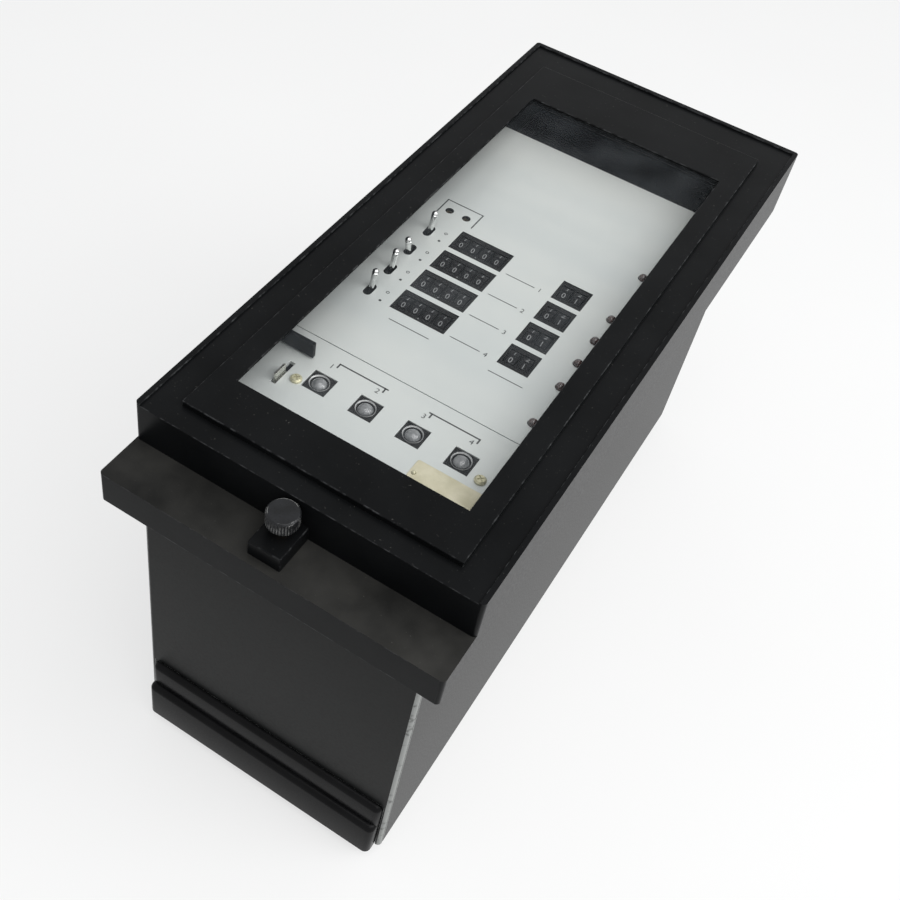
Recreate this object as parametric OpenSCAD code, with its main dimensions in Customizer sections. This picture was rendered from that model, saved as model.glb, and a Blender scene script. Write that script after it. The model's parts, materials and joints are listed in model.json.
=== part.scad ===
// Protection relay in a semi-flush drawout panel case, lying on its back with its face up.
// X is the width, Y the height when mounted on a panel, and Z points out of the face.
// The lowest point is on the heads of the rear terminal screws, at Z = 0.

/* [Cover] */
// Width over the cover
cover_w = 168.3; // [166:0.1:176]
// Height over the cover, ledge included
cover_h = 395; // [390:1:410]
// How far the ledge stands out below the face
ledge_w = 24; // [23:0.5:28]
// Depth of the ledge, back to front
ledge_t = 17.5; // [16:0.5:24]
// Depth of the face above the ledge
face_t = 21.8; // [20:0.1:30]
// Wall of the cover's sides
cover_wall = 5.5; // [5:0.1:7]
// Wall of the cover's front
face_wall = 4; // [3:0.1:5]
// Radius of the cover's corners
cover_r = 2; // [1:0.1:4]
// Width of the low rim round the face
rim_w = 2.7; // [2:0.1:4]
// Height of the low rim
rim_t = 1.2; // [0.6:0.1:2]

/* [Window] */
// Width of the opening
window_w = 114.6; // [106:0.1:118]
// Height of the opening
window_h = 277.6; // [270:0.1:282]
// Width of the raised frame beside the opening
frame_side = 10.9; // [9:0.1:14]
// Flat strip below the raised frame
frame_low = 11; // [8:0.5:16]
// Flat strip above the raised frame
frame_high = 24.6; // [18:0.1:32]
// How far the frame stands above the face
frame_t = 3; // [2:0.1:4]
// Thickness of the pane
pane_t = 3; // [2:0.1:4]
// How far the pane reaches under the opening's edge
pane_lap = 4.5; // [3:0.1:6]
// Thickness of the frame's lip in front of the pane
window_lip = 1.6; // [1.2:0.1:3]

/* [Thumbscrew] */
// Place of the screw across the width
screw_x = -3; // [-20:1:20]
// Radius of the knurled head
knob_r = 7.2; // [6:0.1:7.4]
// Height of the knurled head
knob_t = 7.5; // [5:0.1:10]
// Length of the neck under the head
neck_t = 5.5; // [4:0.1:8]
// Radius of the neck
neck_r = 2.7; // [2.5:0.1:4]
// Radius of the shank
shank_r = 2; // [1.6:0.1:2.1]
// Height of the boss on the ledge
boss_t = 8; // [5:0.1:9]
// Width of the boss
boss_w = 16; // [14:0.5:22]
// Reach of the boss from the wall
boss_h = 20; // [18:0.5:21]
// Grooves round the head
knurl_count = 36; // [24:1:48]

/* [Case] */
// How far the cover stands out beyond the case at each side
side_overhang = 11.95; // [10:0.05:14]
// How far the cover stands out beyond the case at each end
end_overhang = 12.5; // [11:0.1:15]
// Depth of the case behind the cover
case_d = 178; // [170:1:200]
// Thickness of the sheet
sheet = 1.5; // [1:0.1:1.6]
// Radius of the case's corners
case_r = 2.2; // [1.8:0.1:5]
// Thickness of the front flange
flange_t = 2.5; // [2:0.1:4]
// Mounting holes out from the case's side
mount_out = 4; // [3.5:0.1:5]
// Distance between mounting holes along the height
mount_y = 304.8; // [280:0.1:330]
// Width of the sheet's lap at the case's corners
seam_in = 2.8; // [2.5:0.1:10]
// Width of the seam beside the lap
seam_w = 0.5; // [0.3:0.1:1]
// Radius of a mounting hole
mount_r = 2.6; // [2:0.1:3]

/* [Terminals] */
// Reach of a terminal block inwards from the case's end
block_h = 62; // [58:1:70]
// Depth of a terminal block
block_d = 47; // [45:1:52]
// Case corner left beside the block
corner_land = 2.9; // [2.7:0.1:7]
// First shoulder, measured from the rear face
shoulder_1 = 42; // [40:0.5:45]
// Second shoulder, measured from the rear face
shoulder_2 = 25.5; // [20:0.5:30]
// Height of each shoulder
shoulder_t = 3.4; // [1.5:0.1:4]
// Distance between terminals
terminal_pitch = 27; // [25:0.5:28]
// Width of a raised terminal seat
seat_w = 10; // [9.5:0.5:14]
// Length of a raised terminal seat
seat_h = 24; // [20:1:28]
// Height of a raised terminal seat
seat_t = 4.5; // [3:0.1:6]
// Radius of a seat's lower edges
seat_r = 2.4; // [1:0.1:2.5]
// How far a seat is set back from the block's end
seat_in = 2; // [1:0.1:4]
// Radius of a terminal screw's head
head_r = 4.5; // [3.5:0.1:4.7]
// Height of a terminal screw's head
head_t = 4.5; // [3:0.1:6]
// Radius of a terminal screw's shank
terminal_r = 2.2; // [1.8:0.1:2.6]
// Length of a terminal screw's shank
terminal_l = 14; // [8:1:20]

/* [Panel] */
// Panel front behind the cover's face
panel_set = 18; // [17:0.1:20]
// Thickness of the panel plates
panel_t = 2; // [1.5:0.1:3]
// Panel edge in from the case's outside
panel_side = 3; // [2.5:0.1:5]
// Half height of the panel
panel_half = 133; // [130:0.5:136]
// Line between the upper and the lower plate
split_y = -77.5; // [-80:0.5:-76]
// Gap between the upper and the lower plate
panel_gap = 0.5; // [0.2:0.1:1]
// Space between the panel and its circuit board
board_gap = 16; // [15.5:0.1:18]

/* [Thumbwheels] */
// Top row of thumbwheels
row_y = 26.5; // [24:0.5:30]
// Distance between the rows
row_pitch = 19.1; // [18.8:0.1:20]
// Middle of the four-digit blocks
freq_x = -25.2; // [-27:0.1:-24]
// Middle of the two-digit blocks
delay_x = 27.7; // [26:0.1:30]
// Distance between digits
digit_pitch = 7; // [6.9:0.1:7.3]
// Width of a wheel
wheel_w = 5.4; // [5:0.1:5.5]
// Radius of a wheel
wheel_r = 8; // [7.5:0.1:8.1]
// How far a wheel stands out of the panel
wheel_proud = 0.8; // [0.5:0.1:1.2]
// Radius of the wheels' axle
axle_r = 1.5; // [1:0.1:2]
// Height of a block in the panel
nose_h = 15.4; // [14.5:0.1:16]
// Border at each end of a block
nose_border = 1.4; // [1:0.1:1.6]
// Angle of the digit that is read, below the wheel's top
read_tilt = 20; // [0:1:24]
// Radius of a finger notch on the rim
notch_r = 0.8; // [0.5:0.1:1]

/* [Switches and lamps] */
// Switches in from the panel's left edge
toggle_in = 14.6; // [13.7:0.1:17]
// Lamps in from the panel's right edge
led_in = 17.8; // [15.2:0.1:19]
// Switches and lamps below the wheels' middle line
control_drop = 3.5; // [2:0.1:5]
// Tilt of a lever from the middle
toggle_tilt = 14; // [10:1:16]
// Length of a lever from its pivot
toggle_l = 17; // [12:0.1:18]
// Radius of a lever's tip
toggle_r = 1.7; // [1.2:0.1:1.8]
// Radius of a lever's pivot pin
pivot_r = 0.8; // [0.6:0.1:1]
// Radius of a lamp
led_r = 2.4; // [2:0.1:2.6]
// Place of the upper lamp
led_top_y = 62.5; // [58:0.5:70]
// Place of the lower lamp
led_low_y = -62.5; // [-66:0.5:-58]
// Height of the two adjusters on the panel
adjust_y = 44.5; // [42:0.5:50]
// First adjuster in from the panel's left edge
adjust_in = 14.7; // [13.2:0.1:16]
// Distance between the adjusters
adjust_pitch = 10.2; // [9.8:0.1:12]
// Radius of an adjuster screw
adjust_r = 1.9; // [1.5:0.1:2.2]

/* [Targets] */
// Middle of the row of targets across the width
target_x = -1.2; // [-3:0.1:0]
// Height of the targets on the panel
target_y = -101.7; // [-103:0.1:-100]
// Distance between targets
target_pitch = 24.9; // [24:0.1:25.5]
// Side of a target's square window
target_w = 11.8; // [11:0.1:12.5]
// Radius of a target ball
ball_r = 4.2; // [3.5:0.1:4.4]
// How far a ball stands out of the panel
ball_proud = 1.6; // [1:0.1:2.2]
// Reset slot out from the panel screw beside it
reset_out = 7.3; // [6.8:0.1:8.8]
// Lower end of the reset slot
reset_y = -114.4; // [-116:0.1:-112]
// Length of the reset slot
reset_slot = 16; // [15:0.1:18]
// Length of the reset tab
reset_len = 8; // [6:0.1:8.5]
// Thickness of the reset tab
reset_t = 1.2; // [0.8:0.1:1.6]
// How far the tab stands out of the panel
reset_proud = 4.5; // [3:0.1:6]
// Panel screws out from the end targets
panel_screw_out = 10.85; // [10.2:0.05:11.6]
// Height of the panel screws
panel_screw_y = -106.4; // [-109:0.1:-104]
// Radius of a panel screw's head
panel_screw_r = 2.8; // [2:0.1:3]
// Height of the cover's reset arm
arm_y = -91.7; // [-93:0.1:-86]
// Inner end of the reset arm
arm_x = -49.4; // [-56:0.1:-46]
// Thickness of the reset arm
arm_t = 2.4; // [1.6:0.1:3]

/* [Drawout unit] */
// Half height of the chassis box
chassis_half = 112; // [108:0.5:116]
// Chassis back above the terminal blocks
chassis_low = 2; // [1:0.5:10]
// Thickness of the chassis sheet
chassis_t = 1.5; // [1:0.1:2]
// Depth of a contact block
contact_d = 40; // [30:1:50]
// Depth of a plug's grip
plug_grip = 15; // [10:0.5:20]
// Thickness of a plug's web
plug_web = 14; // [10:0.5:18]
// Thickness of a circuit board
board_t = 1.6; // [1.2:0.1:2.4]
// Front circuit board in from the panel's edge
front_board_in = 8; // [3:0.5:10]
// Side boards, distance from the middle
board_x = 44; // [40:0.5:48]

/* [Inner pieces] */
// Width of the transformer's core
core_w = 46; // [40:1:60]
// Length of the transformer's core
core_l = 56; // [50:1:70]
// Height of the transformer's core
core_t = 48; // [40:1:60]
// Wall of the core beside the coil
core_leg = 7; // [5:0.5:10]
// How far the coil stands out above the core
coil_out = 10; // [6:1:20]
// Width of an output relay, out from its board
relay_w = 16; // [12:1:20]
// Length of an output relay
relay_l = 28; // [24:1:32]
// Height of an output relay
relay_t = 20; // [16:1:26]
// Space between output relays
relay_gap = 10; // [6:1:14]
// Output relays above the chassis back
relay_z = 60; // [30:1:90]
// Length of a panel screw under its head
panel_screw_l = 7; // [4:0.5:12]

/* [Hidden] */
// Clearances: a slip fit between parts, a running fit round a pin, and room over a moving edge
fit = 0.2;
run = 0.08;
room = 0.4;
eps = 0.01;
$fn = 48;

freq_digits = 4;
delay_digits = 2;
rows = 4;
terminal_columns = 5;

// Levels along Z
rear_z = head_t + seat_t;
case_z = rear_z + case_d;
ledge_z = case_z + ledge_t;
face_z = ledge_z + face_t;
panel_z = face_z - panel_set;
panel_back = panel_z - panel_t;
board_z = panel_back - board_gap;
face_back = face_z - face_wall;
pane_z = face_z + frame_t - window_lip - pane_t;

// Outlines along Y
cover_low = -cover_h / 2;
face_low = cover_low + ledge_w;
face_h = cover_h - ledge_w;
face_mid = (face_low + cover_h / 2) / 2;
frame_y0 = face_low + frame_low;
frame_y1 = cover_h / 2 - frame_high;
case_w = cover_w - 2 * side_overhang;
case_h = cover_h - 2 * end_overhang;
case_end = case_h / 2;
mount_x = case_w + 2 * mount_out;
panel_w = case_w - 2 * panel_side;
inner_w = case_w - 2 * sheet;
inner_end = case_end - sheet;

// Cover and flange share the pocket that closes round the flange
lip = 2.5;
flange_w = cover_w - 2 * (cover_wall - lip + room);
flange_h = cover_h - 2 * (cover_wall - lip + room);
flange_r = 2;
seat_gap = 0.3;
arm_down = 4.6;

// Thumbscrew stands clear of the cover's wall and of the case's sheet
screw_y = face_low - knob_r - 0.6;
boss_z = ledge_z + boss_t;
knob_z = boss_z + neck_t;
lug_t = 12;
lug_w = 18;
lug_h = 9;
shank_low = case_z - lug_t + 1;
clip_t = 1.4;
clip_r = 4.5;
knob_edge = 0.8;
knurl_r = 0.45;

// Terminal blocks
block_w = case_w - 2 * corner_land;
block_lip = 6;
outer_row_in = 4;
inner_row_in = 20;
outer_row = case_end + 2 * shoulder_t - seat_h / 2 - outer_row_in;
inner_row = case_end - block_h + inner_row_in;
slot_w = 1.2;
slot_t = 1.4;

// Thumbwheels
axle_z = panel_z + wheel_proud - wheel_r;
wheel_room = 0.5;
nose_set = 0.3;
pocket_w = wheel_w + 1;
housing_h = 2 * (wheel_r + wheel_room) + 1.2;
digits_per_turn = 10;

// Switches, lamps and adjusters keep their places from the panel's edges
toggle_x = toggle_in - panel_w / 2;
led_x = panel_w / 2 - led_in;
adjust_x = adjust_in - panel_w / 2;
toggle_depth = 6;
bat_foot = 1.15;
bat_head = 2;
bat_groove = 0.35;
toggle_z = panel_z - toggle_depth;
toggle_body_w = 7;
toggle_body_h = 13;
toggle_slot_w = 4.4;
toggle_slot_h = 9;
toggle_pin_l = 6;
toggle_up = [true, false, true, true];
led_flange_r = led_r + 0.5;
led_proud = 2.6;
trim_w = 9;
trim_t = 13;
trim_z = board_z + trim_t;
trim_shaft_r = 1.2;
trim_shaft_l = 6;
trim_set = 1.5;

// Targets
ball_z = panel_z + ball_proud - ball_r;
ball_room = 0.35;
target_rim = 1.5;
target_back = 6;
target_body_w = target_w + 2 * target_rim;
target_body_d = ball_r + target_back;
ball_pin_r = 0.8;
ball_pin_l = ball_r + 1.4;
panel_screw_x = (rows - 1) / 2 * target_pitch + panel_screw_out;
reset_x = -panel_screw_x - reset_out;
reset_slot_w = reset_t + 1.6;
reset_foot_w = 5;
reset_foot_t = 1.5;
reset_foot_l = reset_len + 4;

// Drawout unit
chassis_z = rear_z + block_d + chassis_low;
chassis_w = panel_w;
contact_z = rear_z + block_d + seat_gap;
contact_side = 4;
contact_end = 3;
contact_w = inner_w - 2 * contact_side;
contact_y0 = chassis_half;
contact_y1 = inner_end - contact_end;
plug_z0 = contact_z + contact_d;
plug_z1 = panel_z - 3;
plug_w = 124;
plug_y0 = panel_half + 1;
plug_h = -face_low - cover_wall - 2 * room - plug_y0;
end_wall_top = plug_z0;
board_border = 8;
board_clear = 6;
front_board_w = panel_w - 2 * front_board_in;

function row_at(k) = row_y - k * row_pitch;
function control_at(k) = row_at(k) - control_drop;
function digit_at(middle, count, d) = middle + (d - (count - 1) / 2) * digit_pitch;
function target_at(k) = target_x + (k - 1.5) * target_pitch;
function nose_w(count) = (count - 1) * digit_pitch + pocket_w + 2 * nose_border;
led_places = concat(
    [[led_x, led_top_y]],
    [for (k = [0 : rows - 1]) [led_x, control_at(k)]],
    [[led_x, led_low_y]]
);
adjust_places = [for (k = [0, 1]) [adjust_x + k * adjust_pitch, adjust_y]];

// Shared shapes

// A rectangle with round corners, about its own centre.
module rounded_rect(w, h, r) {
    square([w - 2 * r, h], center = true);
    square([w, h - 2 * r], center = true);
    for (x = [-1, 1], y = [-1, 1])
        translate([x * (w / 2 - r), y * (h / 2 - r)]) circle(r);
}

// A rounded plate from one level to another, with its middle at y.
module plate(w, h, r, z0, z1, y = 0) {
    translate([0, y, z0]) linear_extrude(z1 - z0) rounded_rect(w, h, r);
}

// A plain box from its low corner to its high corner.
module block(low, high) {
    translate(low) cube(high - low);
}

// A round bar along X, centred on a point.
module bar_x(p, r, l) {
    translate(p) rotate([0, 90, 0]) cylinder(r = r, h = l, center = true);
}

// A pan-head screw seen from its head, which looks along +Z from the origin.
module pan_screw(r, t, shank, l, cross = false) {
    difference() {
        union() {
            rotate_extrude() polygon([[0, 0], [r, 0], [r, t * 0.55], [r * 0.72, t], [0, t]]);
            translate([0, 0, -l]) cylinder(r = shank, h = l + eps);
        }
        if (cross) cross_recess(r, t);
        else translate([-slot_w / 2, -r - 1, t - slot_t / 2]) cube([slot_w, 2 * r + 2, slot_t]);
    }
}

// A cross of two short slots in a screw's head.
module cross_recess(r, t) {
    for (a = [45, 135]) rotate([0, 0, a])
        translate([-r * 0.62, -slot_w / 4, t - slot_t / 2]) cube([r * 1.24, slot_w / 2, slot_t]);
}

// Case

module case_shell() color("#3a3c3b") {
    difference() {
        union() {
            plate(case_w, case_h, case_r, rear_z, case_z + eps);
            plate(flange_w, flange_h, flange_r, case_z, case_z + flange_t);
        }
        plate(inner_w, case_h - 2 * sheet, case_r - sheet, rear_z + sheet, case_z + flange_t + 1);
        for (s = [-1, 1]) block_opening(s);
        for (x = [-1, 1], y = [-1, 1])
            translate([x * mount_x / 2, y * mount_y / 2, case_z - 1]) cylinder(r = mount_r, h = flange_t + 2);
        for (x = [-1, 1], y = [-1, 1])
            nose(x * case_w / 2, y * (case_end - seam_in), sheet / 2, seam_w, rear_z - 1, case_z);
    }
    cover_lug();
}

// The notch in the rear and end walls that takes a terminal block.
module block_opening(s) {
    y0 = case_end - block_h;
    y1 = case_end + 1;
    block(
        [-block_w / 2, s > 0 ? y0 : -y1, rear_z - 1],
        [block_w / 2, s > 0 ? y1 : -y0, rear_z + shoulder_1]
    );
}

// The tapped lug inside the case's lower wall that the thumbscrew is screwed into.
module cover_lug() {
    difference() {
        block(
            [screw_x - lug_w / 2, -inner_end - eps, case_z - lug_t],
            [screw_x + lug_w / 2, -inner_end + lug_h, case_z]
        );
        translate([screw_x, screw_y, case_z - lug_t - 1]) cylinder(r = shank_r + run, h = lug_t + 2);
    }
}

// Terminals

module terminal_blocks() color("#161616") {
    terminal_block();
    mirror([0, 1, 0]) terminal_block();
}

// The upper block: a body behind the sheet, a plug that fills the notch, and two shoulders outside.
module terminal_block() {
    plug_x = block_w / 2 - fit;
    body_y0 = case_end - block_h - block_lip;
    body_y1 = inner_end - fit;
    difference() {
        union() {
            plate(
                inner_w - 2 * fit, body_y1 - body_y0, case_r - sheet,
                rear_z + sheet, rear_z + block_d, (body_y0 + body_y1) / 2
            );
            block(
                [-plug_x, case_end - block_h + fit, rear_z],
                [plug_x, case_end, rear_z + shoulder_1 - fit]
            );
            shoulder(plug_x, shoulder_1 - fit, shoulder_t);
            shoulder(plug_x, shoulder_2, 2 * shoulder_t);
            for (c = [0 : terminal_columns - 1]) terminal_seat(c);
        }
        for (c = [0 : terminal_columns - 1]) {
            terminal_hole(c, outer_row, -seat_t);
            terminal_hole(c, inner_row, 0);
        }
    }
}

function column_x(c) = (c - (terminal_columns - 1) / 2) * terminal_pitch;

// A step on the end face with a round front edge and round ends.
module shoulder(half_w, reach, proud) {
    r = shoulder_t;
    hull() {
        for (s = [-1, 1]) {
            translate([s * (half_w - r), case_end + proud - r, rear_z + reach - r]) sphere(r, $fn = 24);
            translate([s * (half_w - r), case_end - r, rear_z + reach - r]) sphere(r, $fn = 24);
            translate([s * (half_w - r), case_end + proud - r, rear_z]) cylinder(r = r, h = eps, $fn = 24);
            translate([s * (half_w - r), case_end - r, rear_z]) cylinder(r = r, h = eps, $fn = 24);
        }
    }
}

// A seat for a terminal's screw, with round lower edges.
module terminal_seat(c) {
    y1 = case_end + 2 * shoulder_t - seat_in;
    translate([column_x(c), y1, rear_z]) rotate([90, 0, 0])
        linear_extrude(seat_h) rounded_rect(seat_w, 2 * seat_t, seat_r);
}

module terminal_hole(c, y, lift) {
    translate([column_x(c), y, rear_z + lift - 1]) cylinder(r = terminal_r + run, h = terminal_l + 1.5);
}

module terminal_screws() color("#b9b5a4") {
    for (s = [-1, 1], c = [0 : terminal_columns - 1]) {
        translate([column_x(c), s * outer_row, rear_z - seat_t]) rotate([180, 0, 0])
            pan_screw(head_r, head_t, terminal_r, terminal_l);
        translate([column_x(c), s * inner_row, rear_z]) rotate([180, 0, 0])
            pan_screw(head_r, head_t, terminal_r, terminal_l);
    }
}

// Cover

module cover() color("#212325") {
    difference() {
        union() {
            plate(cover_w, cover_h, cover_r, case_z, ledge_z);
            plate(cover_w, face_h, cover_r, case_z, face_z, face_mid);
            cover_rim();
            raised_frame();
            block(
                [screw_x - boss_w / 2, face_low - boss_h, ledge_z - eps],
                [screw_x + boss_w / 2, face_low + eps, boss_z]
            );
        }
        cover_hollow();
        block(
            [-window_w / 2, -window_h / 2, face_back - 1],
            [window_w / 2, window_h / 2, face_z + frame_t + 1]
        );
        pane_rebate();
        translate([screw_x, screw_y, case_z]) cylinder(r = shank_r + run, h = boss_z - case_z + 1);
    }
}

// The low rim along the left, upper and right edges of the face.
module cover_rim() {
    difference() {
        plate(cover_w, face_h, cover_r, face_z - eps, face_z + rim_t, face_mid);
        block(
            [-cover_w / 2 + rim_w, face_low - 1, face_z - 1],
            [cover_w / 2 - rim_w, cover_h / 2 - rim_w, face_z + rim_t + 1]
        );
    }
}

module raised_frame() {
    w = window_w + 2 * frame_side;
    block([-w / 2, frame_y0, face_z - eps], [w / 2, frame_y1, face_z + frame_t]);
}

// The hollow, with a lip that stops on the case's flange.
module cover_hollow() {
    pocket = cover_wall - lip;
    pocket_z = case_z + flange_t + seat_gap;
    plate(cover_w - 2 * pocket, cover_h - 2 * pocket, cover_r, case_z - 1, pocket_z);
    plate(cover_w - 2 * cover_wall, cover_h - 2 * cover_wall, cover_r, case_z, ledge_z - cover_wall);
    plate(
        cover_w - 2 * cover_wall, face_h - 2 * cover_wall, cover_r, case_z, face_back, face_mid
    );
}

// The rebate behind the frame's lip, open to the back, that the pane is bonded into.
module pane_rebate() {
    w = window_w + 2 * pane_lap;
    h = window_h + 2 * pane_lap;
    block([-w / 2, -h / 2, face_back - 1], [w / 2, h / 2, pane_z + pane_t]);
}

module window_pane() color("#c8d4d8", 0.3) {
    w = window_w + 2 * pane_lap - 2 * fit;
    h = window_h + 2 * pane_lap - 2 * fit;
    block([-w / 2, -h / 2, pane_z], [w / 2, h / 2, pane_z + pane_t]);
}

// The plate that reaches from the cover's left wall over the panel, on its foot.
module reset_arm() color("#1d1e20") {
    wall_x = -cover_w / 2 + cover_wall;
    z0 = panel_z + 1;
    z1 = face_back - arm_down;
    foot_t = 2;
    foot_h = 14;
    block([wall_x, arm_y, z0], [arm_x, arm_y + arm_t, z1]);
    block([wall_x, arm_y + arm_t / 2 - foot_h / 2, z0], [wall_x + foot_t, arm_y + arm_t / 2 + foot_h / 2, z1]);
}

// Thumbscrew

module thumbscrew() color("#8f8a76") translate([screw_x, screw_y, 0]) {
    difference() {
        rotate_extrude() polygon([
            [0, knob_z], [knob_r - knob_edge, knob_z], [knob_r, knob_z + knob_edge],
            [knob_r, knob_z + knob_t - knob_edge], [knob_r - knob_edge, knob_z + knob_t], [0, knob_z + knob_t]
        ]);
        for (k = [0 : knurl_count - 1])
            rotate([0, 0, k * 360 / knurl_count]) translate([knob_r + knurl_r / 2, 0, knob_z - 1])
                cylinder(r = knurl_r, h = knob_t + 2, $fn = 16);
    }
    translate([0, 0, boss_z + fit]) cylinder(r = neck_r, h = neck_t - fit + eps);
    translate([0, 0, shank_low]) cylinder(r = shank_r, h = knob_z - shank_low);
}

module thumbscrew_clip() color("#a8a8a0") {
    z1 = ledge_z - cover_wall - fit;
    translate([screw_x, screw_y, z1 - clip_t]) difference() {
        cylinder(r = clip_r, h = clip_t);
        translate([0, 0, -1]) cylinder(r = shank_r + run / 4, h = clip_t + 2);
    }
}

// Panel

module upper_panel() color("#cdd1cd") {
    difference() {
        block([-panel_w / 2, split_y + panel_gap / 2, panel_back], [panel_w / 2, panel_half, panel_z]);
        for (k = [0 : rows - 1]) {
            nose(freq_x, row_at(k), nose_w(freq_digits) + 2 * fit, nose_h + 2 * fit, panel_back - 1, panel_z + 1);
            nose(delay_x, row_at(k), nose_w(delay_digits) + 2 * fit, nose_h + 2 * fit, panel_back - 1, panel_z + 1);
            translate([toggle_x, control_at(k), panel_back - 1]) linear_extrude(panel_t + 2)
                rounded_rect(toggle_slot_w, toggle_slot_h, toggle_slot_w / 2 - eps);
        }
        for (p = led_places) translate([p.x, p.y, panel_back - 1]) cylinder(r = led_r + fit, h = panel_t + 2);
        for (p = adjust_places)
            translate([p.x, p.y, panel_back - 1]) cylinder(r = adjust_r + room, h = panel_t + 2);
    }
}

module lower_panel() color("#cdd1cd") {
    side = target_w + 2 * fit;
    difference() {
        block([-panel_w / 2, -panel_half, panel_back], [panel_w / 2, split_y - panel_gap / 2, panel_z]);
        for (k = [0 : rows - 1]) nose(target_at(k), target_y, side, side, panel_back - 1, panel_z + 1);
        nose(reset_x, reset_y + reset_slot / 2, reset_slot_w, reset_slot, panel_back - 1, panel_z + 1);
        for (s = [-1, 1]) translate([s * panel_screw_x, panel_screw_y, panel_back - 1])
            cylinder(r = panel_screw_r / 2 + run, h = panel_t + 2);
    }
}

// A rectangular prism through the panel, about its own middle.
module nose(x, y, w, h, z0, z1) {
    block([x - w / 2, y - h / 2, z0], [x + w / 2, y + h / 2, z1]);
}

module panel_screws() color("#c3c3a5") {
    for (s = [-1, 1]) translate([s * panel_screw_x, panel_screw_y, panel_z])
        pan_screw(panel_screw_r, panel_screw_r * 0.6, panel_screw_r / 2, panel_screw_l, true);
}

// Thumbwheels

module wheel_housings() color("#141516") {
    for (k = [0 : rows - 1]) {
        wheel_housing(freq_x, row_at(k), freq_digits);
        wheel_housing(delay_x, row_at(k), delay_digits);
    }
}

// A housing with a round pocket for each wheel and one axle through them all.
module wheel_housing(x, y, count) {
    w = nose_w(count);
    difference() {
        union() {
            nose(x, y, w, nose_h, panel_back - 1, panel_z - nose_set);
            nose(x, y, w, housing_h, board_z, panel_back - fit);
        }
        for (d = [0 : count - 1])
            bar_x([digit_at(x, count, d), y, axle_z], wheel_r + wheel_room, pocket_w);
    }
    bar_x([x, y, axle_z], axle_r, w - 2);
}

// A decade wheel with a finger notch between each two digits.
module digit_wheel(x, y) {
    difference() {
        bar_x([x, y, axle_z], wheel_r, wheel_w);
        bar_x([x, y, axle_z], axle_r + run, wheel_w + 1);
        for (k = [0 : digits_per_turn - 1]) {
            a = (k + 0.5) * 360 / digits_per_turn - read_tilt;
            rim = wheel_r + notch_r / 2;
            bar_x([x, y + rim * sin(a), axle_z + rim * cos(a)], notch_r, wheel_w + 1, $fn = 24);
        }
    }
}

module freq_wheel(k, d) color("#26282a") digit_wheel(digit_at(freq_x, freq_digits, d - 1), row_at(k - 1));

module delay_wheel(k, d) color("#26282a") digit_wheel(digit_at(delay_x, delay_digits, d - 1), row_at(k - 1));

// Switches, lamps and adjusters

module toggle_bodies() color("#1b1c1d") {
    for (k = [0 : rows - 1]) {
        y = control_at(k);
        difference() {
            nose(toggle_x, y, toggle_body_w, toggle_body_h, board_z, panel_back);
            nose(toggle_x, y, toggle_slot_w, toggle_slot_h, toggle_z - 2.5, panel_back + 1);
            bar_x([toggle_x, y, toggle_z], pivot_r + run, toggle_pin_l + 2 * fit);
        }
    }
}

// A bat lever on its cross pin, tilted to where the photograph shows it.
module toggle(k) color("#d4d6d4") translate([toggle_x, control_at(k - 1), toggle_z])
    rotate([toggle_up[k - 1] ? -toggle_tilt : toggle_tilt, 0, 0]) {
        rotate_extrude() bat_profile();
        bar_x([0, 0, 0], pivot_r, toggle_pin_l);
        sphere(bat_foot);
    }

// Half of the bat's outline: it swells from its foot, has one groove and ends in a low dome.
module bat_profile() {
    neck = toggle_l - bat_head;
    polygon(concat(
        [[0, 0], [bat_foot, 0], [toggle_r, neck - bat_groove], [toggle_r - bat_groove, neck]],
        [for (a = [0 : 15 : 75]) [toggle_r * cos(a), neck + bat_groove + (bat_head - bat_groove) * sin(a)]],
        [[0, toggle_l]]
    ));
}

module leds() color("#7a2420") {
    for (p = led_places) translate([p.x, p.y, 0]) {
        translate([0, 0, board_z]) cylinder(r = led_flange_r, h = board_gap - fit);
        translate([0, 0, panel_back - 1]) cylinder(r = led_r, h = panel_t + led_proud - led_r + 1);
        translate([0, 0, panel_z + led_proud - led_r]) sphere(led_r);
    }
}

module trimmer_bodies() color("#27507a") {
    for (p = adjust_places) difference() {
        nose(p.x, p.y, trim_w, trim_w, board_z, trim_z);
        translate([p.x, p.y, trim_z - trim_shaft_l]) cylinder(r = trim_shaft_r + run, h = trim_shaft_l + 1);
    }
}

// A slotted adjuster screw, below the panel's face.
module trim_screw(k) color("#b79a58") translate([adjust_places[k - 1].x, adjust_places[k - 1].y, 0]) {
    top = panel_z - trim_set;
    difference() {
        translate([0, 0, trim_z + fit]) cylinder(r = adjust_r, h = top - trim_z - fit);
        translate([-slot_w / 4, -adjust_r - 1, top - slot_t / 2]) cube([slot_w / 2, 2 * adjust_r + 2, slot_t]);
    }
    translate([0, 0, trim_z - trim_shaft_l + fit]) cylinder(r = trim_shaft_r, h = trim_shaft_l + eps);
}

// Targets

module target_housings() color("#101112") {
    for (k = [0 : rows - 1]) difference() {
        union() {
            nose(target_at(k), target_y, target_w, target_w, panel_back - 1, panel_z - nose_set);
            nose(target_at(k), target_y, target_body_w, target_body_w, panel_back - target_body_d, panel_back);
        }
        translate([target_at(k), target_y, ball_z]) sphere(ball_r + ball_room);
        bar_x([target_at(k), target_y, ball_z], ball_pin_r + run, 2 * (ball_pin_l + fit));
    }
}

// A ball on two stub pins that turns its other half to the front.
module target(k) color("#3c3d3e") translate([target_at(k - 1), target_y, ball_z]) {
    sphere(ball_r);
    bar_x([0, 0, 0], ball_pin_r, 2 * ball_pin_l);
}

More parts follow.
